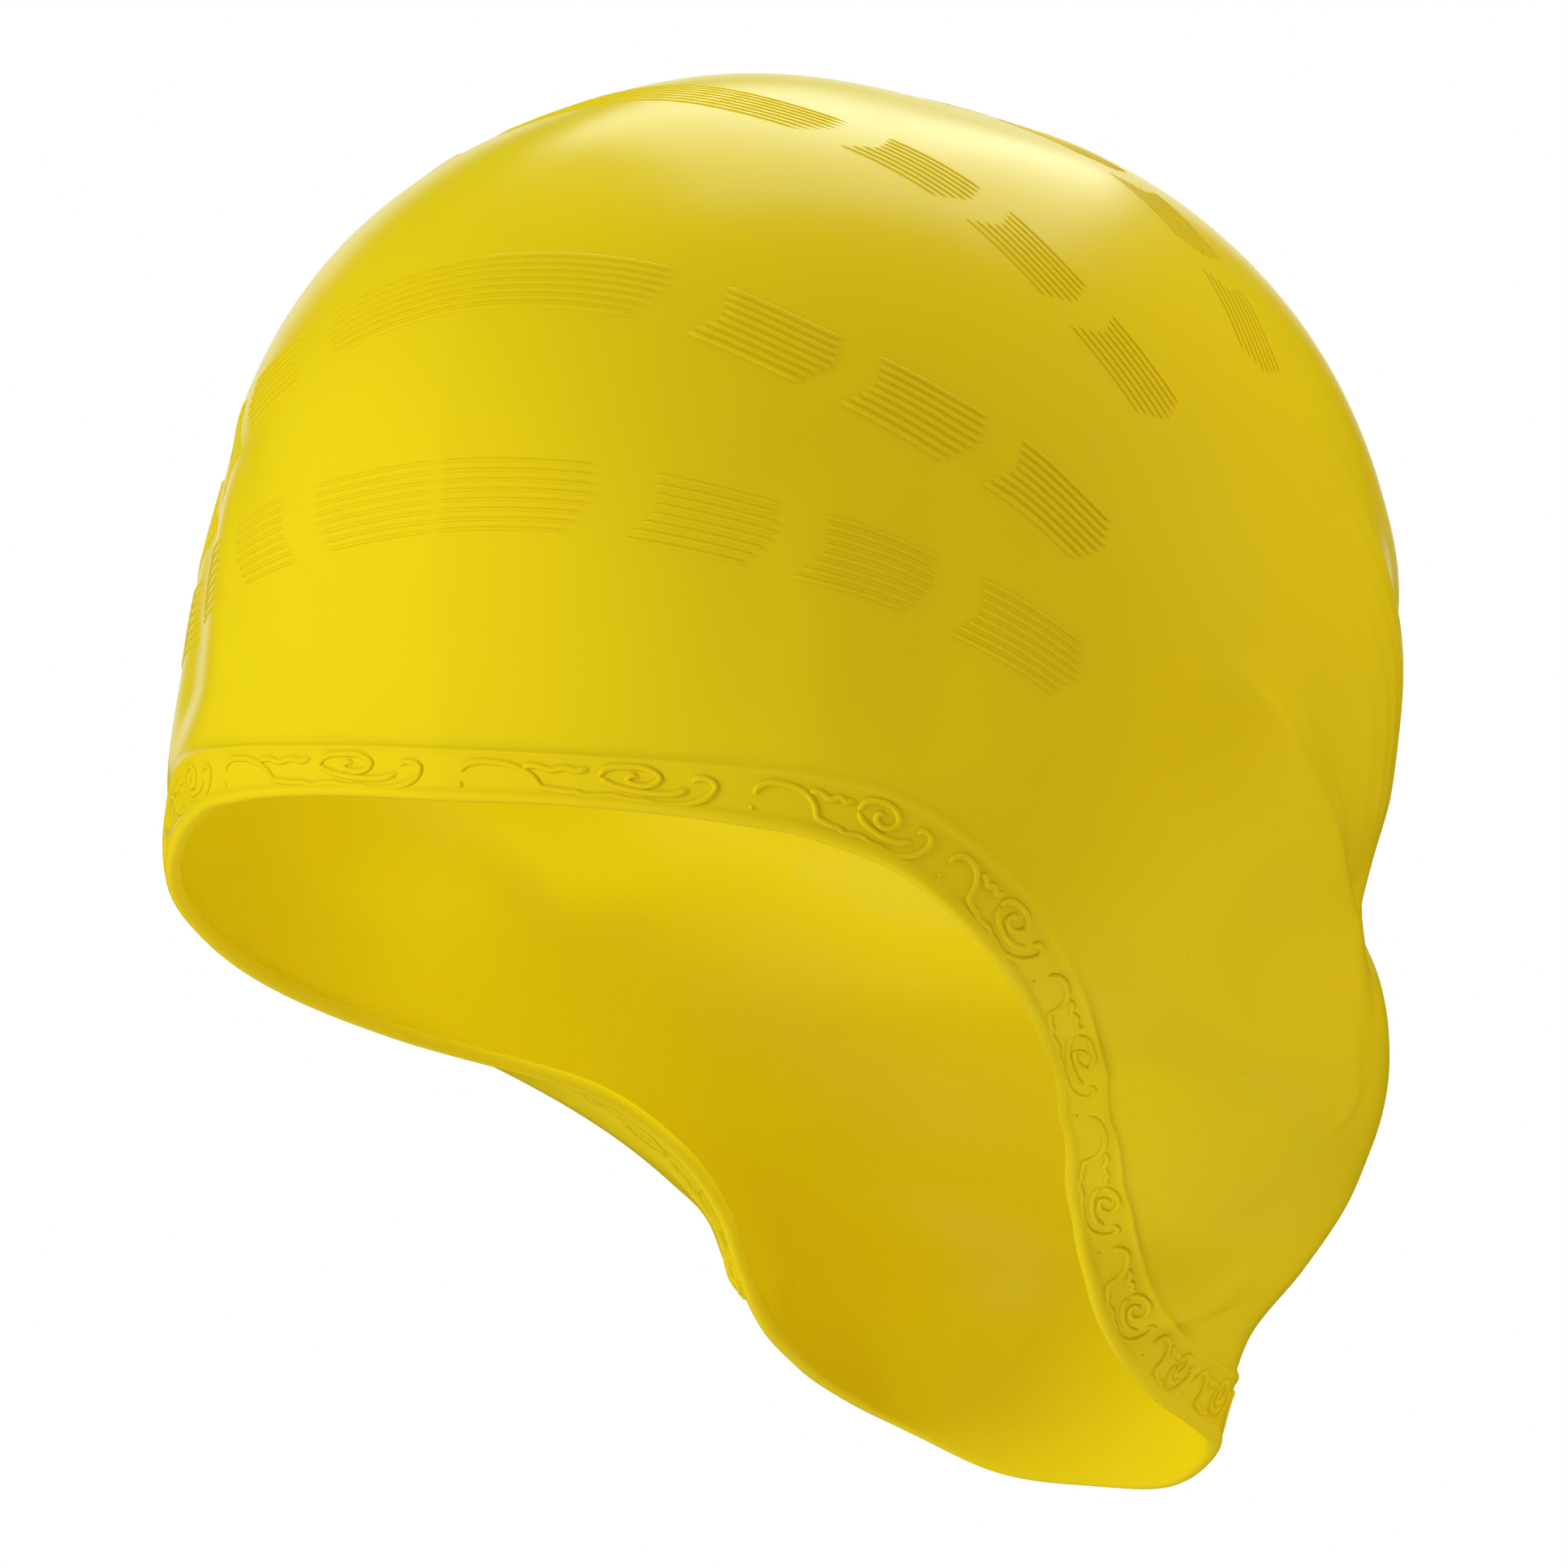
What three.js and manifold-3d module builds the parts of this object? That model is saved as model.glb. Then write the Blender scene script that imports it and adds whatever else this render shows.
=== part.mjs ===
// A swim cap, one moulded piece of silicone, in the shape that it takes when it is worn.
// Millimetres, +Z up, -Y the wearer's front and +X the wearer's left.
// The tables give the left half of the cap. The right half is its mirror image.
// Heights count from the front edge, over the forehead. The group's origin is the top of the
// head, inside the crown.
import * as THREE from 'three';
import { mergeVertices } from 'three/addons/utils/BufferGeometryUtils.js';
import Module from 'manifold-3d';

const WALL = 1.2; // silicone wall
const EDGE_WALL = 1.5; // wall at the open edge
const HALF_COLUMNS = 36; // mesh columns on each side of the cap
const OUTER_ROWS = 20; // rows from the edge band up to the pole, outside
const INNER_ROWS = 15; // the same, inside
const COLUMN_STEPS = 90; // points that follow the wall along one column
const EDGE_STEPS = 720; // points that follow half of the edge

// Horizontal sections: each is two half ellipses that meet where the section is widest.
// front, widest, back and spine are places along Y. Directions are taken round the spine.
const SECTIONS = table(['height', 'front', 'widest', 'back', 'halfWidth', 'spine'], [
  [93.2, -6, -6, -6, 0, -6],
  [90, -32.5, -1.5, 23.5, 18, -6],
  [81, -55, 5.5, 55, 41, -3],
  [69.5, -71.5, 8.5, 75, 55, 0],
  [55, -80.5, 10, 88.5, 66, 2],
  [37, -83.5, 9, 98, 74, 3],
  [15, -82.5, 5, 102.5, 80, 4],
  [-4, -83, -4.5, 100.5, 79, 8],
  [-20, -80, -4.5, 91.5, 75, 14],
  [-38, -26.5, 15.5, 89.5, 72.5, 24],
  [-47, 5, 37, 94.5, 63.5, 28],
  [-56, 17.5, 57.5, 98, 54, 30],
  [-65, 23, 69.5, 99.5, 46.5, 32],
  [-74, 25.5, 69.5, 98, 40.5, 33],
  [-83, 27.5, 67, 93.5, 34, 34],
  [-92, 33, 71, 90, 29.5, 35],
  [-108, 38, 72, 88, 24.5, 36],
]);

// The open edge: its height for each direction round the spine, 0 at the front, 180 at the nape.
const EDGE = table(['azimuth', 'height'], [
  [0, 0], [12, -0.2], [24.5, -2], [32.5, -4.5], [40, -10.5], [45, -20], [50, -32.5],
  [56, -39.9], [62, -43.9], [68, -47.1], [75, -51], [90, -63.5], [103, -77.5], [123, -88.5],
  [137, -94.5], [150, -100.5], [163, -106], [180, -107.5],
]);

// Soft folds: how far the wall is pushed out, round a place given by azimuth and height.
const FOLDS = table(['azimuth', 'height', 'azimuthReach', 'heightReach', 'push', 'lean'], [
  [128, -38, 24, 24, 4, 0], // pouch behind the ear
  [134, 6, 9, 20, -5, -0.35], // valley above the pouch
  [58, -22, 20, 16, 2, 0], // temple
  [80, -34, 20, 16, -6, 0], // hollow under the ear
]);

// Profile of the edge band: distance up from the edge, and how far it stands proud of the wall.
const BAND_PROFILE = table(['up', 'proud'], [
  [0, 0.1], [0.7, 0.6], [1.8, 0.3], [7.8, 0.3], [8.7, 0],
]);

// Rib tabs lie along four hoops that swing about an axis through the temples.
const HOOP_AXIS = new THREE.Vector3(0, 14, 0);
const HOOPS = table(['swing', 'middleTab', 'tabLength', 'gap', 'drift'], [
  [22, 22, 17.4, 4.9, 'first'],
  [38.3, 26.5, 17.5, 4.2, 'second'],
  [65, 25.5, 15.6, 3.9, 'third'],
  [95.5, 20.4, 15.5, 3.9, 'fourth'],
]);
// How far the stretched wall carries each hoop off its plane, at runs from the middle of the cap.
const HOOP_DRIFT = table(['run', 'first', 'second', 'third', 'fourth'], [
  [-95, -5, -10, -6, -4],
  [-60, -4, -9, -5, -3],
  [-30, -3, -8, -4, -2],
  [-15, -1.9, -5.5, -2.5, -1],
  [5, 0, -2, -0.5, 0],
  [25, 1.1, 0.3, 0.6, 0.8],
  [45, 0.9, -0.3, 0.4, 1.2],
  [65, 0.4, -0.2, -2, 0.5],
  [78, -1.8, -0.3, -2.9, -2.3],
  [92, -5.6, -2.7, -3.8, -4],
]);
const TAB_WIDTH = 9;
const TAB_POINT = 2.4; // how far the point of a tab runs ahead of its corners
const TAB_SLANT = 0.33; // how far its upper corner runs ahead of its middle, for each mm of width
const TAB_PROUD = 0.5;
const TAB_SUNK = 0.7;
const SIDE_TABS = 3;
const MIDDLE_PIECES = 6; // straight pieces along the middle tab
const SIDE_PIECES = 3;

// Raised running wave on the edge band: one curl, drawn along (0 to 1) and up the band (0 to 1).
// A curl runs from each mark to the next. The marks are lengths along the edge from the front,
// positive on the wearer's left, and lie further apart where the edge is stretched more.
const WAVE_MARKS = [
  -265.4, -251, -236.5, -222, -207, -188, -150, -92, -67, -41.5, 3.7,
  42.4, 67.2, 89.3, 152, 186.7, 207.5, 221.5, 236, 250, 264, 278,
];
const WAVE_FOOT = 2.2;
const WAVE_TOP = 6.4;
const WAVE_WIDTH = 1.1;
const WAVE_PROUD = 0.75;
const WAVE_SUNK = 0.3;
const WAVE_LINE = table(['along', 'up'], [
  [0.04, 0.1], [0.28, 0], [0.46, 0.35], [0.52, 0.8], [0.66, 1], [0.8, 0.75], [0.76, 0.35],
  [0.66, 0.45],
]);

const CENTRE = new THREE.Vector3(0, 42, -36); // the wall is seen whole from here
const POLE_TILT = 25; // degrees that the columns' meeting point leans back from straight up
const CROWN_TOP = SECTIONS[0].height;
const HEAD_SEAT = new THREE.Vector3(0, SECTIONS[0].spine, CROWN_TOP - WALL);
const CAST_LOW = 5;
const CAST_HIGH = 180;
const CAST_ROUNDS = 36;
const SMALL = 1e-3;
const NORMAL_SPREAD = 0.004; // how far apart, as seen from the centre, a normal's points lie

const rad = THREE.MathUtils.degToRad;
const HOOP_TURN = rad(80); // the hoops are followed this far to each side
const wasm = await Module();
wasm.setup();

function table(columns, rows) {
  return rows.map((row) => Object.fromEntries(columns.map((name, i) => [name, row[i]])));
}

// A smooth curve through a table's points. flatEnds makes its slope zero at both ends.
function curve(xs, ys, flatEnds = false) {
  const last = xs.length - 1;
  const rise = xs.slice(1).map((x, i) => (ys[i + 1] - ys[i]) / (x - xs[i]));
  const slopes = xs.map((x, i) => {
    if (i === 0) return flatEnds ? 0 : rise[0];
    if (i === last) return flatEnds ? 0 : rise[last - 1];
    const before = xs[i] - xs[i - 1];
    const after = xs[i + 1] - xs[i];
    return (rise[i - 1] * after + rise[i] * before) / (before + after);
  });
  return (x) => {
    let i = 0;
    while (i < last - 1 && x > xs[i + 1]) i += 1;
    const span = xs[i + 1] - xs[i];
    const t = THREE.MathUtils.clamp((x - xs[i]) / span, 0, 1);
    const t2 = t * t;
    const t3 = t2 * t;
    return (2 * t3 - 3 * t2 + 1) * ys[i] + (t3 - 2 * t2 + t) * span * slopes[i]
      + (3 * t2 - 2 * t3) * ys[i + 1] + (t3 - t2) * span * slopes[i + 1];
  };
}

// Depth below the crown is taken as its square root, which keeps the top a round dome.
const depthRoot = (height) => Math.sqrt(Math.max(CROWN_TOP - height, 0));
const sectionCurves = Object.fromEntries(
  ['front', 'widest', 'back', 'halfWidth', 'spine'].map((name) => [
    name,
    curve(SECTIONS.map((row) => depthRoot(row.height)), SECTIONS.map((row) => row[name])),
  ]),
);
const edgeHeight = curve(EDGE.map((row) => rad(row.azimuth)), EDGE.map((row) => row.height), true);

// Distance from the spine out to the wall, in one direction at one height.
function reach(azimuth, height) {
  const root = depthRoot(height);
  const front = sectionCurves.front(root);
  const widest = sectionCurves.widest(root);
  const back = sectionCurves.back(root);
  const halfWidth = Math.max(sectionCurves.halfWidth(root), SMALL);
  const offset = sectionCurves.spine(root) - widest;
  const sideways = Math.sin(azimuth);
  const backwards = -Math.cos(azimuth);
  const toEllipse = (length) => {
    const long = Math.max(length, SMALL);
    const a = (sideways / halfWidth) ** 2 + (backwards / long) ** 2;
    const b = (offset * backwards) / long ** 2;
    const c = (offset / long) ** 2 - 1;
    return (Math.sqrt(Math.max(b * b - a * c, 0)) - b) / a;
  };
  const toFront = toEllipse(widest - front);
  const plain = offset + toFront * backwards <= 0 ? toFront : toEllipse(back - widest);
  const degrees = THREE.MathUtils.radToDeg(Math.abs(azimuth));
  return FOLDS.reduce((sum, fold) => {
    const above = height - fold.height;
    const along = (degrees - fold.azimuth - fold.lean * above) / fold.azimuthReach;
    return sum + fold.push * Math.exp(-(along ** 2) - (above / fold.heightReach) ** 2);
  }, plain);
}

function wallPoint(azimuth, height) {
  const distance = reach(azimuth, height);
  const spine = sectionCurves.spine(depthRoot(height));
  const side = distance * Math.sin(azimuth);
  return new THREE.Vector3(side, spine - distance * Math.cos(azimuth), height);
}

const edgePoint = (azimuth) => wallPoint(azimuth, edgeHeight(azimuth));

function isOutside(point) {
  if (point.z >= CROWN_TOP) return true;
  const fromSpine = point.y - sectionCurves.spine(depthRoot(point.z));
  const azimuth = Math.atan2(point.x, -fromSpine);
  return Math.hypot(point.x, fromSpine) > reach(azimuth, point.z);
}

// Where the line from a place inside the cap, in a direction, meets the wall.
function cast(from, direction) {
  const unit = direction.clone().normalize();
  let low = CAST_LOW;
  let high = CAST_HIGH;
  for (let round = 0; round < CAST_ROUNDS; round += 1) {
    const middle = (low + high) / 2;
    if (isOutside(from.clone().addScaledVector(unit, middle))) high = middle;
    else low = middle;
  }
  return from.clone().addScaledVector(unit, (low + high) / 2);
}

function normalAt(point) {
  const out = point.clone().sub(CENTRE);
  const spread = out.length() * NORMAL_SPREAD;
  const across = new THREE.Vector3(-out.y, out.x, 0);
  if (across.lengthSq() < SMALL) across.set(1, 0, 0);
  across.setLength(spread);
  const along = out.clone().cross(across).setLength(spread);
  const seen = (step) => cast(CENTRE, out.clone().add(step));
  const chord = (step) => seen(step).sub(seen(step.clone().negate()));
  return chord(across).cross(chord(along)).normalize();
}

// Half of the edge, from the front to the nape, measured along itself.
const edgeAzimuths = Array.from({ length: EDGE_STEPS + 1 }, (_, i) => (Math.PI * i) / EDGE_STEPS);
const edgeRun = [0];
for (let i = 1; i <= EDGE_STEPS; i += 1) {
  const step = edgePoint(edgeAzimuths[i]).distanceTo(edgePoint(edgeAzimuths[i - 1]));
  edgeRun.push(edgeRun[i - 1] + step);
}
const EDGE_LENGTH = edgeRun[EDGE_STEPS];

function between(list, values, target) {
  let i = 0;
  while (i < list.length - 2 && target > list[i + 1]) i += 1;
  const t = (target - list[i]) / (list[i + 1] - list[i]);
  return { i, t, value: values ? values[i] + (values[i + 1] - values[i]) * t : 0 };
}

const poleWay = new THREE.Vector3(0, Math.sin(rad(POLE_TILT)), Math.cos(rad(POLE_TILT)));
const polePoint = cast(CENTRE, poleWay);

// A column of the mesh: seen from the centre, it goes straight from the edge to the pole.
// squareness turns a distance square to the edge into one along the column.
function makeColumn(run) {
  const azimuth = between(edgeRun, edgeAzimuths, run).value;
  const foot = edgePoint(azimuth);
  const start = foot.clone().sub(CENTRE).normalize();
  const end = polePoint.clone().sub(CENTRE).normalize();
  const whole = start.angleTo(end);
  const points = Array.from({ length: COLUMN_STEPS + 1 }, (_, i) => {
    const turn = (whole * i) / COLUMN_STEPS;
    const toStart = start.clone().multiplyScalar(Math.sin(whole - turn));
    return cast(CENTRE, toStart.addScaledVector(end, Math.sin(turn)));
  });
  const runs = [0];
  points.slice(1).forEach((point, i) => runs.push(runs[i] + point.distanceTo(points[i])));
  const ahead = edgePoint(Math.min(azimuth + SMALL, Math.PI));
  const forward = ahead.sub(edgePoint(Math.max(azimuth - SMALL, 0)));
  const squareness = 1 / Math.sin(forward.angleTo(points[1].clone().sub(foot)));
  return { points, runs, squareness, length: runs[COLUMN_STEPS] };
}

function pointUp(column, up) {
  const { i, t } = between(column.runs, null, up);
  return column.points[i].clone().lerp(column.points[i + 1], t);
}

const mirrored = (point, side) => new THREE.Vector3(point.x * side, point.y, point.z);

// Closed skin of the cap: outer rows go up to the pole, inner rows come back down to the edge.
function makeShell() {
  const bandTop = BAND_PROFILE.at(-1).up;
  const outer = [...BAND_PROFILE];
  for (let row = 1; row < OUTER_ROWS; row += 1) outer.push({ share: row / OUTER_ROWS, proud: 0 });
  const inner = [{ up: 0, proud: BAND_PROFILE[0].proud - EDGE_WALL }, { up: bandTop, proud: -WALL }];
  for (let row = 1; row < INNER_ROWS; row += 1) inner.push({ share: row / INNER_ROWS, proud: -WALL });
  const rows = [...outer, ...inner];
  const half = [];
  for (let k = 0; k <= HALF_COLUMNS; k += 1) {
    const column = makeColumn((EDGE_LENGTH * k) / HALF_COLUMNS);
    const bandRun = bandTop * column.squareness;
    const place = ({ up, share }) => pointUp(
      column,
      share === undefined ? up * column.squareness : bandRun + (column.length - bandRun) * share,
    );
    half.push(rows.map((row) => {
      const point = place(row);
      return point.addScaledVector(normalAt(point), row.proud);
    }));
  }
  const around = 2 * HALF_COLUMNS;
  const vertices = [];
  for (let k = 0; k < around; k += 1) {
    const side = k <= HALF_COLUMNS ? 1 : -1;
    const source = half[side > 0 ? k : around - k];
    source.forEach((point) => vertices.push(mirrored(point, side)));
  }
  const outerPole = vertices.push(polePoint.clone()) - 1;
  const innerPole = vertices.push(polePoint.clone().addScaledVector(normalAt(polePoint), -WALL)) - 1;
  const at = (k, row) => (k % around) * rows.length + row;
  const triangles = [];
  const quad = (a, b, c, d) => triangles.push([a, b, c], [a, c, d]);
  const firstInner = outer.length;
  for (let k = 0; k < around; k += 1) {
    for (let row = 0; row < firstInner - 1; row += 1) {
      quad(at(k, row), at(k + 1, row), at(k + 1, row + 1), at(k, row + 1));
    }
    for (let row = firstInner; row < rows.length - 1; row += 1) {
      quad(at(k, row + 1), at(k + 1, row + 1), at(k + 1, row), at(k, row));
    }
    quad(at(k, firstInner), at(k + 1, firstInner), at(k + 1, 0), at(k, 0));
    triangles.push([at(k, firstInner - 1), at(k + 1, firstInner - 1), outerPole]);
    triangles.push([at(k + 1, rows.length - 1), at(k, rows.length - 1), innerPole]);
  }
  return { vertices, triangles };
}

// A thin slab that lies on the wall: a grid of places, with a top above it and a bottom sunk in.
function makeSlab(grid, proud, sunk) {
  const lines = grid.length;
  const places = grid[0].length;
  const normals = grid.map((line) => line.map(normalAt));
  const layer = (offset) => grid.flatMap((line, i) =>
    line.map((point, j) => point.clone().addScaledVector(normals[i][j], offset)));
  const vertices = [...layer(proud), ...layer(-sunk)];
  const below = lines * places;
  const at = (i, j) => i * places + j;
  const triangles = [];
  const quad = (a, b, c, d) => triangles.push([a, b, c], [a, c, d]);
  for (let i = 0; i < lines - 1; i += 1) {
    for (let j = 0; j < places - 1; j += 1) {
      quad(at(i, j), at(i, j + 1), at(i + 1, j + 1), at(i + 1, j));
      quad(below + at(i + 1, j), below + at(i + 1, j + 1), below + at(i, j + 1), below + at(i, j));
    }
  }
  const rim = [];
  for (let j = 0; j < places; j += 1) rim.push(at(0, j));
  for (let i = 1; i < lines; i += 1) rim.push(at(i, places - 1));
  for (let j = places - 2; j >= 0; j -= 1) rim.push(at(lines - 1, j));
  for (let i = lines - 2; i > 0; i -= 1) rim.push(at(i, 0));
  rim.forEach((a, k) => {
    const b = rim[(k + 1) % rim.length];
    quad(a, a + below, b + below, b);
  });
  return { vertices, triangles };
}

// A place on a hoop: run along it from the middle of the cap, and a distance off its middle line.
function makeHoop(swing, driftName) {
  const drift = curve(HOOP_DRIFT.map((row) => row.run), HOOP_DRIFT.map((row) => row[driftName]));
  const forward = new THREE.Vector3(0, -Math.cos(rad(swing)), Math.sin(rad(swing)));
  const off = new THREE.Vector3(0, Math.sin(rad(swing)), Math.cos(rad(swing)));
  const direction = (turn) => forward.clone().multiplyScalar(Math.cos(turn)).setX(Math.sin(turn));
  const turns = Array.from({ length: COLUMN_STEPS + 1 }, (_, i) => (HOOP_TURN * i) / COLUMN_STEPS);
  const points = turns.map((turn) => cast(HOOP_AXIS, direction(turn)));
  const runs = [0];
  points.slice(1).forEach((point, i) => runs.push(runs[i] + point.distanceTo(points[i])));
  return (run, offset) => {
    const turn = between(runs, turns, Math.abs(run)).value * Math.sign(run);
    const distance = cast(HOOP_AXIS, direction(turn)).distanceTo(HOOP_AXIS);
    const side = (offset + drift(run)) / distance;
    return cast(HOOP_AXIS, direction(turn).addScaledVector(off, side));
  };
}

// One chevron tab, as three lines of places: lower edge, point line and upper edge. Each end's
// way is the side that its point runs to.
function tabGrid(place, start, end, startWay, endWay, pieces) {
  const line = (offset, point) => {
    const shift = point + TAB_SLANT * offset;
    const from = start + startWay * shift;
    const step = (end + endWay * shift - from) / pieces;
    return Array.from({ length: pieces + 1 }, (_, i) => place(from + step * i, offset));
  };
  return [line(-TAB_WIDTH / 2, 0), line(0, TAB_POINT), line(TAB_WIDTH / 2, 0)];
}

function tabSlabs() {
  return HOOPS.flatMap(({ swing, middleTab, tabLength, gap, drift }) => {
    const place = makeHoop(swing, drift);
    const grids = [tabGrid(place, -middleTab, middleTab, -1, 1, MIDDLE_PIECES)];
    for (let n = 0; n < SIDE_TABS; n += 1) {
      const start = middleTab + gap + n * (tabLength + gap);
      const end = start + tabLength;
      grids.push(tabGrid(place, start, end, 1, 1, SIDE_PIECES));
      grids.push(tabGrid(place, -end, -start, -1, -1, SIDE_PIECES));
    }
    return grids.map((grid) => makeSlab(grid, TAB_PROUD, TAB_SUNK));
  });
}

// The curls run the same way all round the edge, so the far half is not a mirror image.
function waveSlabs() {
  const bandPlace = (run, up) => {
    const wrapped = ((run % (2 * EDGE_LENGTH)) + 2 * EDGE_LENGTH) % (2 * EDGE_LENGTH);
    const side = wrapped <= EDGE_LENGTH ? 1 : -1;
    const column = makeColumn(side > 0 ? wrapped : 2 * EDGE_LENGTH - wrapped);
    return mirrored(pointUp(column, up * column.squareness), side);
  };
  return WAVE_MARKS.slice(1).map((end, n) => {
    const start = WAVE_MARKS[n];
    const line = WAVE_LINE.map(({ along, up }) => new THREE.Vector2(
      start + (end - start) * along,
      WAVE_FOOT + (WAVE_TOP - WAVE_FOOT) * up,
    ));
    const sides = line.map((_, i) => {
      const next = line[Math.min(i + 1, line.length - 1)];
      const previous = line[Math.max(i - 1, 0)];
      const way = next.clone().sub(previous).setLength(WAVE_WIDTH / 2);
      return new THREE.Vector2(-way.y, way.x);
    });
    const row = (sign) => line.map((spot, i) =>
      bandPlace(spot.x + sides[i].x * sign, spot.y + sides[i].y * sign));
    return makeSlab([row(-1), row(1)], WAVE_PROUD, WAVE_SUNK);
  });
}

function toSolid({ vertices, triangles }) {
  const numbers = vertices.flatMap((vertex) => vertex.toArray());
  const geometry = new THREE.BufferGeometry();
  geometry.setAttribute('position', new THREE.Float32BufferAttribute(numbers, 3));
  geometry.setIndex(triangles.flat());
  const merged = mergeVertices(geometry);
  return new wasm.Manifold(new wasm.Mesh({
    numProp: 3,
    vertProperties: merged.attributes.position.array,
    triVerts: merged.index.array,
  }));
}

function toGeometry(solid) {
  const mesh = solid.getMesh();
  const geometry = new THREE.BufferGeometry();
  geometry.setAttribute('position', new THREE.BufferAttribute(mesh.vertProperties, 3));
  geometry.setIndex(new THREE.BufferAttribute(mesh.triVerts, 1));
  geometry.computeVertexNormals();
  return geometry;
}

const silicone = new THREE.MeshStandardMaterial({ color: 0xdcc018, roughness: 0.42, metalness: 0 });
const relief = [...tabSlabs(), ...waveSlabs()].map(toSolid);
const shell = toSolid(makeShell());
const cap = relief.reduce((sum, slab) => sum.add(slab), shell);

const capMesh = new THREE.Mesh(toGeometry(cap), silicone);
capMesh.name = 'cap_shell';
const group = new THREE.Group();
group.position.copy(HEAD_SEAT).negate();
group.add(capMesh);

export default group;
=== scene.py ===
"""A swim cap of moulded silicone in its worn shape: body, rib tabs, edge scroll and studio."""

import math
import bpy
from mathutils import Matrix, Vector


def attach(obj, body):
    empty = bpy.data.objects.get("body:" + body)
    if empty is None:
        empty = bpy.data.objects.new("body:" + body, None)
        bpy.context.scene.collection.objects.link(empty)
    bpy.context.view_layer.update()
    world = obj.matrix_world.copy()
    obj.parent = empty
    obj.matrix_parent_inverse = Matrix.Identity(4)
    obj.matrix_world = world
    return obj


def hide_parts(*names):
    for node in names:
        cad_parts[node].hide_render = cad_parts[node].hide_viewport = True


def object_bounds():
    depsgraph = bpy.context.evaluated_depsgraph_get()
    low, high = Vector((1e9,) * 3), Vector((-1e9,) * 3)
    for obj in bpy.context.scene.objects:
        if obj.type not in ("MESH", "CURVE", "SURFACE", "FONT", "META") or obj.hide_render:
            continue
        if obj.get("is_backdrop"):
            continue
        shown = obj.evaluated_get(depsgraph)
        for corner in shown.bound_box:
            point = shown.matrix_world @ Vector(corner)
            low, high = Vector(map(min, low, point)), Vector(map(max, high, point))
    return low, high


bl_info = {
    "name": "Swim Cap",
    "version": (1, 0, 0),
    "blender": (4, 5, 0),
    "location": "3D View > Sidebar > Swim Cap",
    "description": "Builds the cap body, its rib tabs and edge scroll, and a plain studio",
    "category": "Object",
}

import bpy
import numpy as np
from mathutils import Quaternion, Vector

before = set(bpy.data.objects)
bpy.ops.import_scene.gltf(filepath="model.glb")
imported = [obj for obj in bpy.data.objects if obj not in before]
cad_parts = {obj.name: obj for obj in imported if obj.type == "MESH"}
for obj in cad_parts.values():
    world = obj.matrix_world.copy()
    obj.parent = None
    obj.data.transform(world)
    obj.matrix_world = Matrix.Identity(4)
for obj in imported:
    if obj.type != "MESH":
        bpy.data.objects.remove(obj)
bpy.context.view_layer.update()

MM = 0.001
NODE = "cap_shell"


def table(names, rows):
    """A table's columns by name, from its rows."""
    return dict(zip(names.split(), np.array(rows, float).T))


# The form of the cap, in millimetres. Heights count from the front edge, -Y is the wearer's front.
# Each section is two half ellipses that meet where it is widest; directions turn round the spine.
SECTIONS = table(
    "height front widest back half_width spine",
    [
        [93.2, -6, -6, -6, 0, -6],
        [90, -32.5, -1.5, 23.5, 18, -6],
        [81, -55, 5.5, 55, 41, -3],
        [69.5, -71.5, 8.5, 75, 55, 0],
        [55, -80.5, 10, 88.5, 66, 2],
        [37, -83.5, 9, 98, 74, 3],
        [15, -82.5, 5, 102.5, 80, 4],
        [-4, -83, -4.5, 100.5, 79, 8],
        [-20, -80, -4.5, 91.5, 75, 14],
        [-38, -26.5, 15.5, 89.5, 72.5, 24],
        [-47, 5, 37, 94.5, 63.5, 28],
        [-56, 17.5, 57.5, 98, 54, 30],
        [-65, 23, 69.5, 99.5, 46.5, 32],
        [-74, 25.5, 69.5, 98, 40.5, 33],
        [-83, 27.5, 67, 93.5, 34, 34],
        [-92, 33, 71, 90, 29.5, 35],
        [-108, 38, 72, 88, 24.5, 36],
    ],
)
# The open edge: its height for each direction, 0 at the front and 180 at the nape.
EDGE = table(
    "azimuth height",
    [
        [0, 0],
        [12, -0.2],
        [24.5, -2],
        [32.5, -4.5],
        [40, -10.5],
        [45, -20],
        [50, -32.5],
        [56, -39.9],
        [62, -43.9],
        [68, -47.1],
        [75, -51],
        [90, -63.5],
        [103, -77.5],
        [123, -88.5],
        [137, -94.5],
        [150, -100.5],
        [163, -106],
        [180, -107.5],
    ],
)
# Large soft folds: how far the wall is pushed out, round a direction and a height.
FOLDS = table(
    "azimuth height azimuth_reach height_reach push lean",
    [
        [128, -38, 24, 24, 4, 0],
        [134, 6, 9, 20, -5, -0.35],
        [58, -22, 20, 16, 2, 0],
        [80, -34, 20, 16, -6, 0],
    ],
)
# The edge's cross-section from the inner corner round the lip and up the band: the place up from
# the edge, and how far it stands proud of the wall.
LIP = table(
    "up proud",
    [
        [0.1, -1.25],
        [-0.2, -1.05],
        [-0.38, -0.6],
        [-0.38, -0.1],
        [-0.2, 0.35],
        [0.1, 0.62],
        [0.5, 0.78],
        [0.9, 0.8],
        [1.3, 0.68],
        [1.6, 0.46],
        [1.9, 0.33],
        [2.4, 0.3],
        [3.6, 0.3],
        [4.8, 0.3],
        [6, 0.3],
        [6.8, 0.3],
        [7.3, 0.36],
        [7.6, 0.52],
        [7.85, 0.62],
        [8.1, 0.55],
        [8.35, 0.26],
        [8.7, 0],
    ],
)
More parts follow.
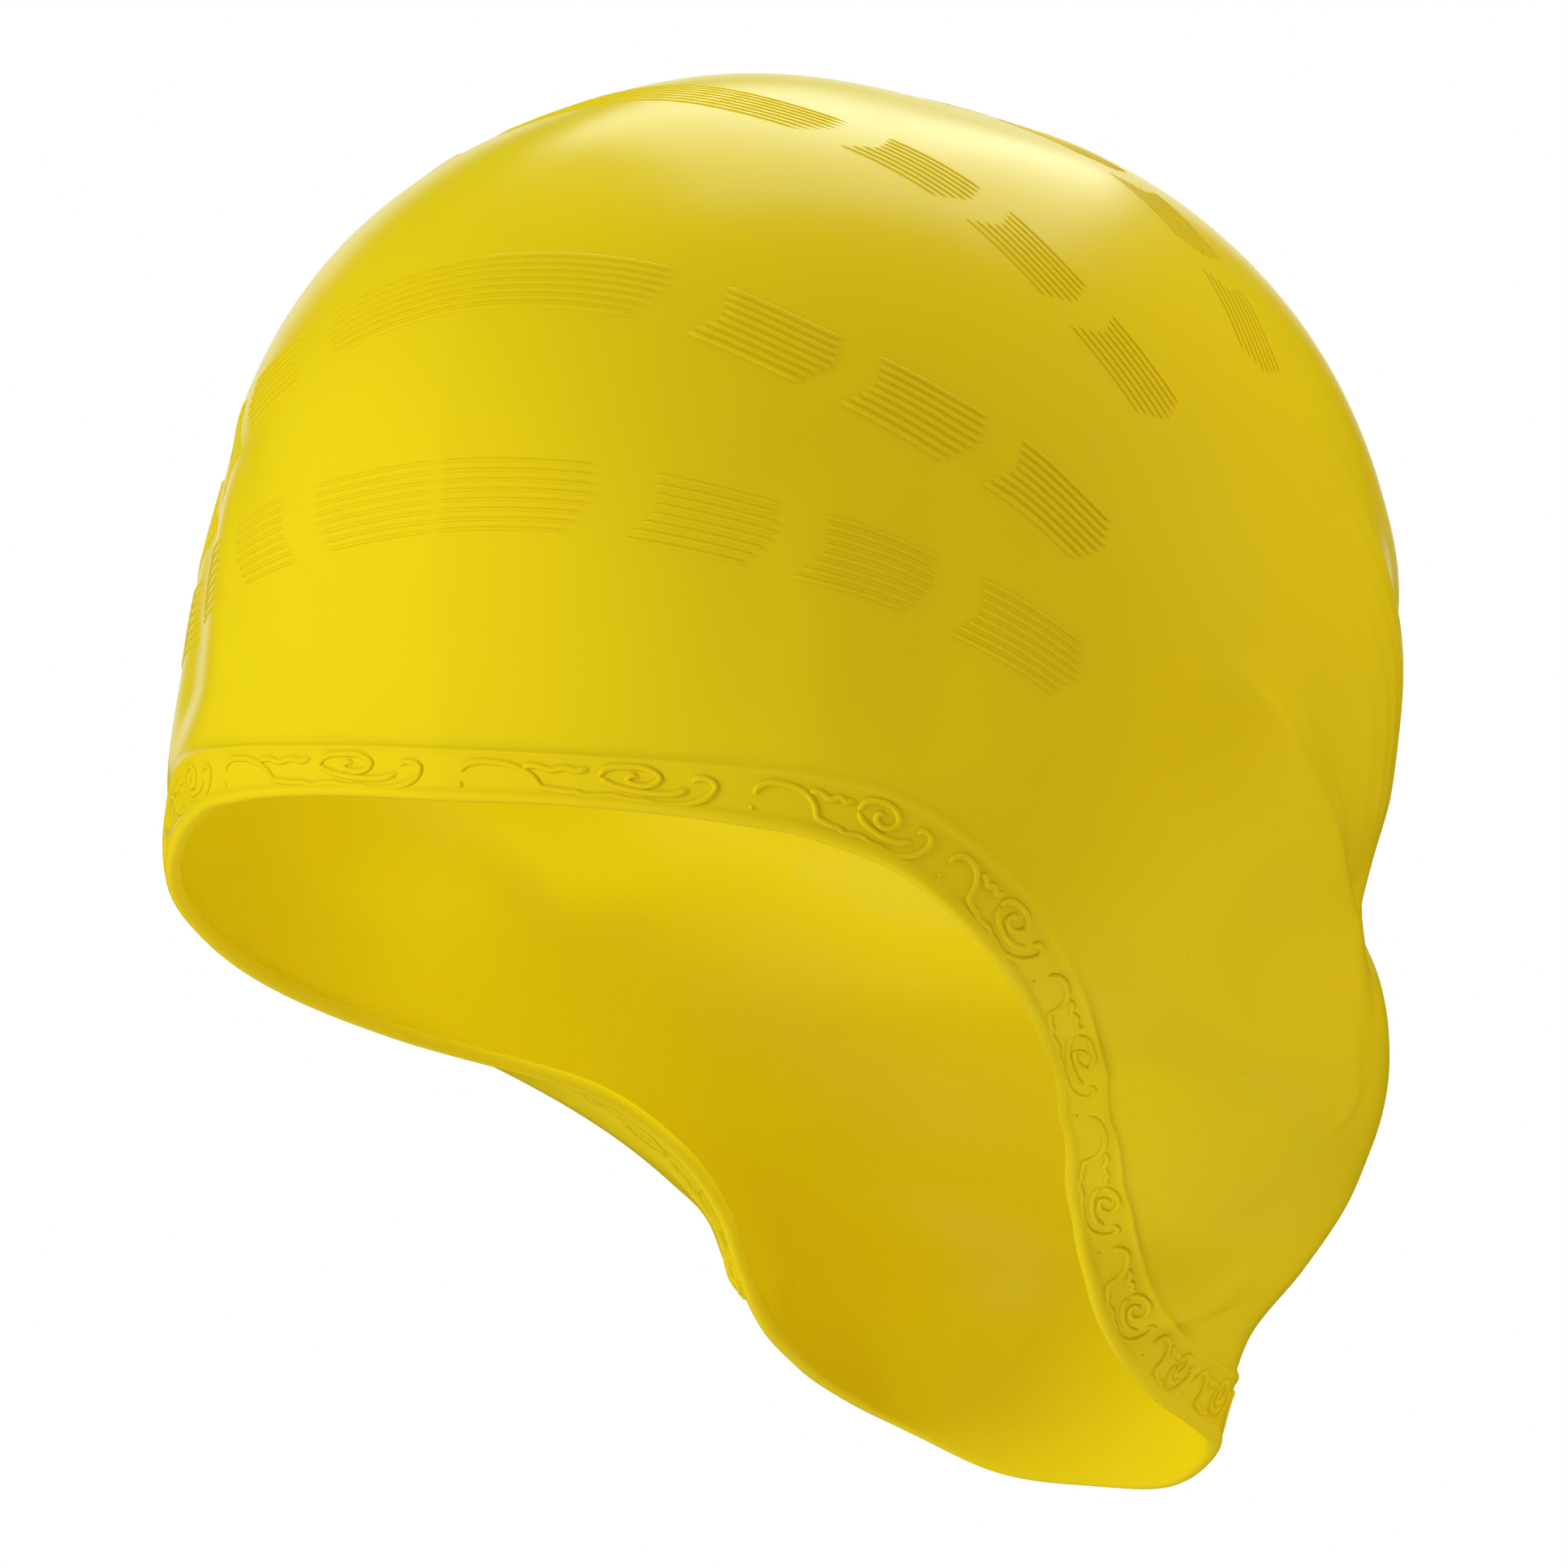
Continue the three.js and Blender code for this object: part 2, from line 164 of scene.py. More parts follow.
# The share of its full height that the band has at each run along the edge.
BAND_SHARE = table(
    "run share",
    [
        [0, 0.81],
        [28, 0.82],
        [40, 0.9],
        [52, 1],
        [75, 1.05],
        [97, 0.96],
        [117, 0.88],
        [150, 0.82],
        [178, 1],
        [193, 1.02],
        [208, 1.08],
        [235, 1.14],
        [272, 1.1],
    ],
)
LIP_TURN = 5  # rows of LIP before it starts up the band
INNER_UPS = [1.2, 4.0, 7.0]  # places up from the edge on the inside
WALL = 1.2
CROWN_TOP = SECTIONS["height"][0]
# The mesh columns run from the edge to a pole at the back of the crown, straight as seen from a
# centre in the hollow. Their spacing is in part by their spread there, and in part by the edge.
CENTRE = np.array([0.0, 42.0, -36.0])
POLE_TILT = math.radians(25)
SPREAD_SHARE = 0.65
EDGE_STEPS = 720
HOOP_STEPS = 180
CAST_RANGE = (5.0, 180.0)  # the nearest and furthest that the wall can be from the centre
CAST_ROUNDS = 24
NORMAL_STEP = 0.1
SMALL = 1e-3

# The faint crease up the front: its push, its width, how far back it reaches, and where it ends.
CREASE_PUSH = 0.4
CREASE_WIDTH = 6
CREASE_REACH = 30
CREASE_TOP = 72
CREASE_FADE = 25
# Fold lines: ridges and valleys along lines of directions and heights. Each has its push, the
# width of its lower or front side, the width of its upper or back side, and its soft ends.
FOLD_LINES = [
    (
        "pouch ridge", 2, 15, 3.2, (18, 12),
        [(74, 19), (81.5, 9.5), (87, 0.5), (98, -11.6), (107, -20.5), (114, -27)],
    ),
    (
        "pouch valley", -1.7, 4, 8, (26, 9),
        [(82, 22), (92, 10), (99, 0), (107, -10.5), (113, -18), (119, -25)],
    ),
    (
        "pouch notch", -1.1, 4.5, 5, (5, 5),
        [(112, -24), (120, -23.5), (130, -23)],
    ),
    (
        "pinch over the neck", 1.7, 2, 9, (10, 14),
        [(104, -78), (112, -77.6), (120, -77), (128, -76)],
    ),
    (
        "pinch groove", -1.2, 5, 1.6, (10, 14),
        [(104, -81), (112, -80.5), (120, -80), (128, -79)],
    ),
    (
        "slanting ridge", 1.3, 4.5, 5.5, (20, 16),
        [(70, -44), (78.5, -47.6), (102, -59.5), (116, -67)],
    ),
    (
        "pouch gleam", 0.5, 1.6, 2.4, (6, 6),
        [(98, -34), (102, -40), (105.5, -46), (107.6, -52)],
    ),
    (
        "temple ridge", 1.2, 13, 8, (12, 10),
        [(33, 0), (35.2, 12.5), (36.4, 24), (36.6, 36), (36.4, 46)],
    ),
    (
        "temple valley", -2, 8, 20, (12, 14),
        [(41, 0), (43, 12.4), (44, 21.6), (45, 30), (45.5, 50)],
    ),
    (
        "wrinkle 1", 0.2, 1.2, 1.6, (14, 20),
        [(93, 24), (99, 20), (104, 8), (109, -6), (116, -18)],
    ),
    (
        "wrinkle 2", 0.14, 1, 1.8, (16, 20),
        [(93, 31), (102, 26), (108, 12), (113, -4), (118, -18)],
    ),
    (
        "wrinkle 3", 0.18, 1.3, 1.4, (16, 20),
        [(95, 37), (106, 30), (111.5, 16), (116, -2), (120, -17)],
    ),
    (
        "wrinkle 4", 0.12, 1, 1.6, (18, 20),
        [(97, 44), (108, 36), (114, 20), (119, 0), (122, -16)],
    ),
    (
        "wrinkle 5", 0.14, 1.4, 1.8, (18, 20),
        [(100, 49), (112, 41), (118, 22), (123, 3), (125, -15)],
    ),
]
FOLD_STEPS = 24
MM_PER_DEGREE = 1.35
BAND_FADE = 11.0  # height over the edge from which the folds have their full push

# Rib tabs lie along hoops that swing about an axis through the temples, by so many degrees. Then
# come half of the middle tab, the length of the others, the gaps, and the relative size of a rib.
HOOP_AXIS = np.array([0.0, 14.0, 0.0])
HOOPS = table(
    "swing middle_tab tab_length gap rib_size",
    [
        [22, 22, 17.4, 4.9, 0.68],
        [38.3, 26.5, 17.5, 4.2, 1],
        [65, 25.5, 15.6, 3.9, 0.62],
        [95.5, 20.4, 15.5, 3.9, 0.5],
    ],
)
# How far each hoop's centre line drifts off its plane, for runs from the cap's middle.
HOOP_DRIFT = table(
    "run first second third fourth",
    [
        [-95, -5, -10, -6, -4],
        [-60, -4, -9, -5, -3],
        [-30, -3, -8, -4, -2],
        [-15, -1.9, -5.5, -2.5, -1],
        [5, 0, -2, -0.5, 0],
        [25, 1.1, 0.3, 0.6, 0.8],
        [45, 0.9, -0.3, 0.4, 1.2],
        [65, 0.4, -0.2, -2, 0.5],
        [78, -1.8, -0.3, -2.9, -2.3],
        [92, -5.6, -2.7, -3.8, -4],
    ],
)
HOOP_TURN = math.radians(100)
TAB_POINT = 2.4  # how far a tab's middle stands out at its ends
TAB_SLANT = 0.33  # how much further out a rib begins for each millimetre beside the middle
SIDE_TABS = 3
RIB_STEPS = 14
RIB_TIP = 1.6  # length of a rib's tapered end, in its radius

# Where the scroll's motifs lie along the edge: a whole number is where one begins, and 0.6 more is
# the middle of its spiral. They lie further apart where the edge is stretched more.
SCROLL_RUNS = table(
    "motif run",
    [
        [-10, -265.4],
        [-9, -251],
        [-8, -236.5],
        [-7, -222],
        [-6, -207],
        [-5, -188],
        [-4, -150],
        [-3, -92],
        [-2, -67],
        [-1, -41.5],
        [-0.4, -14.8],
        [0, 3.7],
        [0.6, 26.7],
        [1, 42.4],
        [1.6, 57.8],
        [2, 67.2],
        [2.6, 77.8],
        [3, 89.3],
        [3.6, 113],
        [4, 152],
        [4.6, 176.8],
        [5, 186.7],
        [5.6, 197.8],
        [6, 207.5],
        [6.6, 215.6],
        [7, 221.5],
        [8, 236],
        [9, 250],
        [10, 264],
        [11, 278],
    ],
)
# One motif: a hooked cloud with a curled tail, a spiral, the line under it, a scallop and a dot.
# Each place is a share of the way along the motif, and millimetres up the band.
SCROLL_TAIL = [
    [0, 4.2], [0.01, 5.3], [0.05, 6.1], [0.11, 6.2], [0.2, 5.5], [0.26, 4], [0.29, 2.5],
    [0.33, 2.25], [0.38, 2], [0.42, 2], [0.45, 1.62], [0.5, 1.75], [0.56, 1.85], [0.6, 1.48],
    [0.65, 1.5], [0.7, 1.25], [0.77, 1.5], [0.825, 2.3], [0.858, 3.6], [0.866, 5], [0.84, 5.7],
    [0.8, 5.5], [0.79, 4.9],
]
SCROLL_SPIRAL = [
    [0.49, 4.8], [0.51, 5.95], [0.585, 6.7], [0.66, 6.4], [0.695, 5.2], [0.67, 4.05],
    [0.628, 3.85], [0.59, 4.5], [0.6, 5.3], [0.63, 5.2],
]
SCROLL_UNDER = [[0.49, 4.8], [0.53, 3.8], [0.6, 3.05], [0.68, 2.75], [0.75, 3.1], [0.79, 4]]
SCROLL_SCALLOP = [[0.21, 5.7], [0.27, 5.9], [0.32, 5.35], [0.37, 5.85], [0.42, 5.5], [0.46, 6.1]]
SCROLL_DOT = [[-0.012, 2.3], [0.012, 2.5]]
# The motif's parts, and how many places each is drawn with.
SCROLL_PARTS = [
    (SCROLL_TAIL, 72),
    (SCROLL_SPIRAL, 34),
    (SCROLL_UNDER, 18),
    (SCROLL_SCALLOP, 16),
    (SCROLL_DOT, 6),
]
SCROLL_MIDDLE = 5  # the place up the band whose height the scroll stands on
SCROLL_TIP = 2  # length of a line's tapered end, in its radius
RIDGE_SIDES = 10
RIDGE_END_SIZE = 0.08

# The silicone: gloss, moulded grain, and the scale and detail of each noise on it.
SILICONE_IOR = 1.43
SILICONE_SPECULAR = 0.1
GRAIN_STRENGTH = 0.12
GRAIN_DEPTH = 0.00004
GRAIN_NOISE = (2600, 3)
CLOUD_NOISE = (28, 2)
CLOUD_RANGE = (0.97, 1.03)
WEAR_NOISE = (160, 4)
WEAR_RANGE = (-0.04, 0.05)

# The photograph's view: directions turn round Z from the wearer's front to the wearer's left.
VIEW_AIM = np.array([0.0, 2.675, -2.865])
VIEW_AZIMUTH = 31.284
VIEW_ELEVATION = 3.701
PHOTO_PIXELS = 1932
PIXELS_PER_MM = 9.1
SENSOR_MM = 36.0
# Softboxes: name, azimuth, elevation, roll, distance in metres, (width, height) in metres, watts,
# colour, and whether it is seen in reflections.
LIGHTS = [
    ("overhead", 195, 48, 42, 1.3, (0.85, 1.03), 11.5, (0.76, 0.98, 0.98), True),
    ("key", -34, 20, 0, 1.6, (0.8, 0.8), 18, (0.86, 1, 0.8), False),
    ("fill", 126, 28, 0, 1.6, (0.8, 0.8), 11, (1, 0.97, 0.9), False),
    ("rim", 216, 8, 0, 1.6, (1.1, 0.6), 2.2, (0.9, 1, 1), True),
    ("under", 20, -42, 0, 0.8, (0.5, 0.4), 0.8, (1, 1, 1), False),
]
# A small round lamp in the hollow: its place and radius in the form's millimetres, watts, colour.
HOLLOW_LAMP = ((-4.0, 24.0, -4.0), 26.0, 0.11, (0.69, 0.96, 1))
# The even light, and the floor: how far below the cap, half its width, both in metres.
SKY_COLOUR = (1.0, 0.91, 0.82)
FLOOR_DROP = 0.7
FLOOR_HALF = 2.5
FLOOR_ROUGHNESS = 0.9


def smooth_curve(places, values, flat_ends=False):
    """A smooth curve through a table's points."""
    spans = np.diff(places)
    rise = np.diff(values) / spans
    slopes = np.zeros(len(places))
    before, after = spans[:-1], spans[1:]
    slopes[1:-1] = (rise[:-1] * after + rise[1:] * before) / (before + after)
    if not flat_ends:
        slopes[0], slopes[-1] = rise[0], rise[-1]

    def value(place):
        i = np.clip(np.searchsorted(places, place) - 1, 0, len(places) - 2)
        t = np.clip((place - places[i]) / spans[i], 0, 1)
        t2, t3 = t * t, t * t * t
        start = (2 * t3 - 3 * t2 + 1) * values[i] + (t3 - 2 * t2 + t) * spans[i] * slopes[i]
        end = (3 * t2 - 2 * t3) * values[i + 1] + (t3 - t2) * spans[i] * slopes[i + 1]
        return start + end

    return value


def depth_root(height):
    """Square root of the depth below the crown, which keeps the top a round dome."""
    return np.sqrt(np.maximum(CROWN_TOP - height, 0))


SECTION_CURVES = {
    name: smooth_curve(depth_root(SECTIONS["height"]), SECTIONS[name])
    for name in ("front", "widest", "back", "half_width", "spine")
}
edge_height = smooth_curve(np.radians(EDGE["azimuth"]), EDGE["height"], flat_ends=True)
band_share = smooth_curve(BAND_SHARE["run"], BAND_SHARE["share"], flat_ends=True)


def reach(azimuth, height):
    """Distance from the spine out to the wall."""
    root = depth_root(height)
    front, widest, back, half_width, spine = (c(root) for c in SECTION_CURVES.values())
    half_width = np.maximum(half_width, SMALL)
    offset = spine - widest
    sideways, backwards = np.sin(azimuth), -np.cos(azimuth)

    def to_ellipse(length):
        long = np.maximum(length, SMALL)
        a = (sideways / half_width) ** 2 + (backwards / long) ** 2
        b = offset * backwards / long**2
        c = (offset / long) ** 2 - 1
        return (np.sqrt(np.maximum(b * b - a * c, 0)) - b) / a

    to_front = to_ellipse(widest - front)
    distance = np.where(offset + to_front * backwards <= 0, to_front, to_ellipse(back - widest))
    degrees = np.degrees(np.abs(azimuth))
    for azimuth_0, height_0, azimuth_reach, height_reach, push, lean in zip(*FOLDS.values()):
        above = height - height_0
        along = (degrees - azimuth_0 - lean * above) / azimuth_reach
        distance = distance + push * np.exp(-(along**2) - (above / height_reach) ** 2)
    return distance


def wall_point(azimuth, height):
    """The place on the wall in one direction at one height."""
    distance = reach(azimuth, height)
    spine = SECTION_CURVES["spine"](depth_root(height))
    across = distance * np.sin(azimuth)
    return np.stack([across, spine - distance * np.cos(azimuth), height + 0 * across], -1)


def edge_point(azimuth):
    """The place on the open edge in one direction."""
    return wall_point(azimuth, edge_height(azimuth))


def beyond_wall(points):
    """How far points lie beyond the wall, along their directions from the spine."""
    height = np.minimum(points[..., 2], CROWN_TOP - SMALL)
    from_spine = points[..., 1] - SECTION_CURVES["spine"](depth_root(height))
    azimuth = np.arctan2(points[..., 0], -from_spine)
    return np.hypot(points[..., 0], from_spine) - reach(azimuth, height)


def unit(vectors):
    """Vectors at length one."""
    return vectors / np.linalg.norm(vectors, axis=-1, keepdims=True)


def cast(origin, directions):
    """Where lines from a place inside the cap meet the wall."""
    ways = unit(directions)
    low = np.full(ways.shape[:-1], CAST_RANGE[0])
    high = np.full(ways.shape[:-1], CAST_RANGE[1])
    for _ in range(CAST_ROUNDS):
        middle = (low + high) / 2
        points = origin + ways * middle[..., None]
        out = (points[..., 2] >= CROWN_TOP) | (beyond_wall(points) > 0)
        high = np.where(out, middle, high)
        low = np.where(out, low, middle)
    return origin + ways * ((low + high) / 2)[..., None]


def wall_normals(points):
    """Outward normals of the wall."""
    steps = np.eye(3) * NORMAL_STEP
    slopes = [beyond_wall(points + step) - beyond_wall(points - step) for step in steps]
    return unit(np.stack(slopes, -1))


def path_lengths(points):
    """Length run so far at each point of paths that lie along the next to last axis."""
    steps = np.linalg.norm(np.diff(points, axis=-2), axis=-1)
    return np.concatenate([np.zeros(steps.shape[:-1] + (1,)), np.cumsum(steps, axis=-1)], -1)


# Half of the edge, from the front to the nape, and the way up the wall square to it.
EDGE_POINTS = edge_point(np.linspace(0, math.pi, EDGE_STEPS + 1))
EDGE_RUNS = path_lengths(EDGE_POINTS)
EDGE_LENGTH = EDGE_RUNS[-1]
EDGE_UPWARD = np.cross(wall_normals(EDGE_POINTS), np.gradient(EDGE_POINTS, EDGE_RUNS, axis=0))
POLE = cast(CENTRE, np.array([0, math.sin(POLE_TILT), math.cos(POLE_TILT)]))
HEAD_SEAT = np.array([0.0, SECTIONS["spine"][0], CROWN_TOP - WALL])


def along_edge(runs, values):
    """Values of the half edge's steps at distances along it."""
    return np.stack([np.interp(runs, EDGE_RUNS, values[:, axis]) for axis in range(3)], -1)


def band_places(runs, ups):
    """Places on the edge band: run along the edge from the front, and distance up from it."""
    wrapped = np.mod(runs + EDGE_LENGTH, 2 * EDGE_LENGTH) - EDGE_LENGTH
    foot = along_edge(np.abs(wrapped), EDGE_POINTS)
    upward = unit(along_edge(np.abs(wrapped), EDGE_UPWARD))
    ups = ups * band_share(np.abs(wrapped))
    places = cast(CENTRE, foot + upward * ups[..., None] - CENTRE)
    mirrored = np.where(wrapped < 0, -1.0, 1.0)[..., None] * [1, 0, 0] + [0, 1, 1]
    return places * mirrored, wall_normals(places) * mirrored


def pole_columns(starts, shares):
    """Places at shares of the way from the band to the pole, straight as seen from the centre."""
    start, end = unit(starts - CENTRE)[:, None], unit(POLE - CENTRE)
    whole = np.arccos(start @ end)
    turn = (whole * shares)[..., None]
    return cast(CENTRE, start * np.sin(whole[..., None] - turn) + end * np.sin(turn))


def hoop_places(swing, runs, offsets):
    """Places along a hoop over the head: run from the middle of the cap, and offset beside it."""
    angle = math.radians(swing)
    forward = np.array([0, -math.cos(angle), math.sin(angle)])
    off = np.array([0, math.sin(angle), math.cos(angle)])

    def ways(turn):
        return np.cos(turn)[..., None] * forward + np.sin(turn)[..., None] * [1.0, 0, 0]

    turns = np.linspace(0, HOOP_TURN, HOOP_STEPS + 1)
    lengths = path_lengths(cast(HOOP_AXIS, ways(turns)))
    turn = np.interp(np.abs(runs), lengths, turns) * np.sign(runs)
    distance = np.linalg.norm(cast(HOOP_AXIS, ways(turn)) - HOOP_AXIS, axis=-1)
    places = cast(HOOP_AXIS, ways(turn) + off * (offsets / distance)[..., None])
    return places, wall_normals(places)


def to_frame(points):
    """Millimetres of the form to metres of the frame."""
    return (points - HEAD_SEAT) * MM


def new_object(name, data):
    """An object in the scene's collection, at the origin."""
    obj = bpy.data.objects.new(name, data)
    bpy.context.scene.collection.objects.link(obj)
    return obj


def new_mesh_object(name, vertices, faces):
    """A smooth mesh object from points in metres and faces."""
    mesh = bpy.data.meshes.new(name)
    mesh.from_pydata([tuple(v) for v in vertices], [], faces)
    mesh.polygons.foreach_set("use_smooth", [True] * len(mesh.polygons))
    mesh.update()
    return new_object(name, mesh)


def new_lines_object(name, lines, sizes):
    """A curve object with one poly spline for each line of points in metres, and its size."""
    curve = bpy.data.curves.new(name, "CURVE")
    curve.dimensions = "3D"
    for line, size in zip(lines, sizes):
        spline = curve.splines.new("POLY")
        spline.points.add(len(line) - 1)
        spline.points.foreach_set("co", np.c_[line, np.ones(len(line))].ravel())
        spline.points.foreach_set("radius", np.full(len(line), size))
    return new_object(name, curve)


def swept_ridges(name, lines, sizes, radius, tip, material):
    """Round ridges along lines, with tapered ends, as one plain mesh."""
    obj = new_lines_object(name + "_lines", lines, sizes)
    tree = ridge_tree()
    modifier = obj.modifiers.new("Ridges", "NODES")
    modifier.node_group = tree
    inputs = {
        item.name: item.identifier
        for item in tree.interface.items_tree
        if getattr(item, "in_out", "") == "INPUT"
    }
    modifier[inputs["Radius"]] = radius
    modifier[inputs["Tip Length"]] = tip
    modifier[inputs["Material"]] = material
    bpy.context.view_layer.update()
    depsgraph = bpy.context.evaluated_depsgraph_get()
    mesh = bpy.data.meshes.new_from_object(obj.evaluated_get(depsgraph), depsgraph=depsgraph)
    mesh.name = name
    bpy.data.objects.remove(obj)
    if not mesh.polygons:
        raise RuntimeError(f"{name} came out empty")
    return new_object(name, mesh)


def ridge_tree():
    """Geometry nodes that sweep a round section along each line and taper both of its ends."""
    name = "Tapered Ridges"
    if name in bpy.data.node_groups:
        return bpy.data.node_groups[name]
    tree = bpy.data.node_groups.new(name, "GeometryNodeTree")
    socket = tree.interface.new_socket
    socket(name="Lines", in_out="INPUT", socket_type="NodeSocketGeometry")
    socket(name="Radius", in_out="INPUT", socket_type="NodeSocketFloat").default_value = 0.0005
    socket(name="Tip Length", in_out="INPUT", socket_type="NodeSocketFloat").default_value = 0.001
    socket(name="Material", in_out="INPUT", socket_type="NodeSocketMaterial")
    socket(name="Ridges", in_out="OUTPUT", socket_type="NodeSocketGeometry")
    add, link = tree.nodes.new, tree.links.new

    def maths(operation, *values):
        node = add("ShaderNodeMath")
        node.operation = operation
        for slot, value in zip(node.inputs, values):
            if isinstance(value, bpy.types.NodeSocket):
                link(value, slot)
            else:
                slot.default_value = value
        return node.outputs[0]

    given = add("NodeGroupInput").outputs
    along = add("GeometryNodeSplineParameter").outputs
    whole = add("GeometryNodeSplineLength").outputs["Length"]
    to_end = maths("SUBTRACT", whole, along["Length"])
    nearest = maths("MINIMUM", along["Length"], to_end)
    share = maths("MINIMUM", maths("DIVIDE", nearest, given["Tip Length"]), 1.0)
    inward = maths("SUBTRACT", 1.0, share)
    roundness = maths("SQRT", maths("SUBTRACT", 1.0, maths("MULTIPLY", inward, inward)))
    size = add("GeometryNodeInputRadius").outputs[0]
    taper = maths("MULTIPLY", maths("MAXIMUM", roundness, RIDGE_END_SIZE), size)
    sized = add("GeometryNodeSetCurveRadius")
    link(given["Lines"], sized.inputs["Curve"])
    link(taper, sized.inputs["Radius"])
    ring = add("GeometryNodeCurvePrimitiveCircle")
    ring.inputs["Resolution"].default_value = RIDGE_SIDES
    link(given["Radius"], ring.inputs["Radius"])
    sweep = add("GeometryNodeCurveToMesh")
    link(sized.outputs["Curve"], sweep.inputs["Curve"])
    link(ring.outputs["Curve"], sweep.inputs["Profile Curve"])
    link(add("GeometryNodeInputRadius").outputs[0], sweep.inputs["Scale"])
    sweep.inputs["Fill Caps"].default_value = True
    shade = add("GeometryNodeSetShadeSmooth")
    link(sweep.outputs["Mesh"], shade.inputs["Geometry"])
    real = add("GeometryNodeRealizeInstances")
    link(shade.outputs["Geometry"], real.inputs["Geometry"])
    painted = add("GeometryNodeSetMaterial")
    link(real.outputs["Geometry"], painted.inputs["Geometry"])
    link(given["Material"], painted.inputs["Material"])
    link(painted.outputs["Geometry"], add("NodeGroupOutput").inputs["Ridges"])
    return tree


def skin_group():
    """Shader nodes for moulded silicone: cloudy tone, uneven gloss and a fine moulded grain."""
    name = "Moulded Skin"
    if name in bpy.data.node_groups:
        return bpy.data.node_groups[name]
    tree = bpy.data.node_groups.new(name, "ShaderNodeTree")
    socket = tree.interface.new_socket
    socket(name="Tone", in_out="INPUT", socket_type="NodeSocketColor")
    socket(name="Gloss", in_out="INPUT", socket_type="NodeSocketFloat")
    socket(name="Base Color", in_out="OUTPUT", socket_type="NodeSocketColor")
    socket(name="Roughness", in_out="OUTPUT", socket_type="NodeSocketFloat")
    socket(name="Height", in_out="OUTPUT", socket_type="NodeSocketFloat")
    add, link = tree.nodes.new, tree.links.new
    given = add("NodeGroupInput").outputs
    result = add("NodeGroupOutput").inputs
    place = add("ShaderNodeTexCoord").outputs["Object"]

    def noise(scale, detail):
        node = add("ShaderNodeTexNoise")
        node.inputs["Scale"].default_value = scale
        node.inputs["Detail"].default_value = detail
        link(place, node.inputs["Vector"])
        return node.outputs["Fac"]

    def spread(value, low, high):
        node = add("ShaderNodeMapRange")
        node.inputs["To Min"].default_value = low
        node.inputs["To Max"].default_value = high
        link(value, node.inputs["Value"])
        return node.outputs["Result"]

    tint = add("ShaderNodeMix")
    tint.data_type = "RGBA"
    tint.blend_type = "MULTIPLY"
    tint.inputs["Factor"].default_value = 1
    link(given["Tone"], tint.inputs["A"])
    link(spread(noise(*CLOUD_NOISE), *CLOUD_RANGE), tint.inputs["B"])
    link(tint.outputs["Result"], result["Base Color"])
    gloss = add("ShaderNodeMath")
    gloss.operation = "ADD"
    link(given["Gloss"], gloss.inputs[0])
    link(spread(noise(*WEAR_NOISE), *WEAR_RANGE), gloss.inputs[1])
    link(gloss.outputs[0], result["Roughness"])
    link(noise(*GRAIN_NOISE), result["Height"])
    return tree


def silicone(colour, roughness):
    """The satin silicone of the cap."""
    name = "Yellow Silicone"
    if name in bpy.data.materials:
        return bpy.data.materials[name]
    material = bpy.data.materials.new(name)
    material.use_nodes = True
    nodes, link = material.node_tree.nodes, material.node_tree.links.new
    shader = nodes["Principled BSDF"]
    shader.inputs["IOR"].default_value = SILICONE_IOR
    shader.inputs["Specular IOR Level"].default_value = SILICONE_SPECULAR
    skin = nodes.new("ShaderNodeGroup")
    skin.node_tree = skin_group()
    skin.inputs["Tone"].default_value = (*colour, 1)
    skin.inputs["Gloss"].default_value = roughness
    link(skin.outputs["Base Color"], shader.inputs["Base Color"])
    link(skin.outputs["Roughness"], shader.inputs["Roughness"])
    grain = nodes.new("ShaderNodeBump")
    grain.inputs["Strength"].default_value = GRAIN_STRENGTH
    grain.inputs["Distance"].default_value = GRAIN_DEPTH
    link(skin.outputs["Height"], grain.inputs["Height"])
    link(grain.outputs["Normal"], shader.inputs["Normal"])
    return material


def finish_piece(obj, material):
    """Gives a piece its material and ties it to the cap's one body."""
    obj.data.materials.clear()
    obj.data.materials.append(material)
    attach(obj, "root")


def cap_material(scene):
    """The one silicone of all the pieces, from the body's settings."""
    body = scene.swim_cap_body
    return silicone(tuple(body.colour), body.roughness)


def centre_crease(points):
    """Faint crease of the mould's middle, up the front of the cap."""
    across = np.abs(points[..., 0])
    front = np.clip(-points[..., 1] / CREASE_REACH, 0, 1)
    fade = np.clip((CREASE_TOP - points[..., 2]) / CREASE_FADE, 0, 1)
    return CREASE_PUSH * np.exp(-across / CREASE_WIDTH) * front * fade


def line_lift(along, up, push, low_width, high_width, ends, line):
    """How far one fold line lifts the wall, for directions as lengths along it and heights."""
    line = np.array(line, float) * [MM_PER_DEGREE, 1]
    knots = path_lengths(line)
    places = np.linspace(0, knots[-1], FOLD_STEPS)
    line = np.stack([np.interp(places, knots, line[:, axis]) for axis in range(2)], -1)
    knots = path_lengths(line)
    nearest = np.full(along.shape, np.inf)
    side = np.zeros(along.shape)
    run = np.zeros(along.shape)
    for start, end, length in zip(line, line[1:], knots):
        way = end - start
        size = np.hypot(*way)
        t = np.clip(((along - start[0]) * way[0] + (up - start[1]) * way[1]) / size**2, 0, 1)
        off_along, off_up = along - start[0] - t * way[0], up - start[1] - t * way[1]
        distance = np.hypot(off_along, off_up)
        closer = distance < nearest
        nearest = np.where(closer, distance, nearest)
        side = np.where(closer, way[0] * off_up - way[1] * off_along, side)
        run = np.where(closer, length + t * size, run)
    width = np.where(side > 0, high_width, low_width)
    soft = np.clip(run / ends[0], 0, 1) * np.clip((knots[-1] - run) / ends[1], 0, 1)
    soft = soft * soft * (3 - 2 * soft)
    return push * soft * np.exp(-((nearest / width) ** 2))


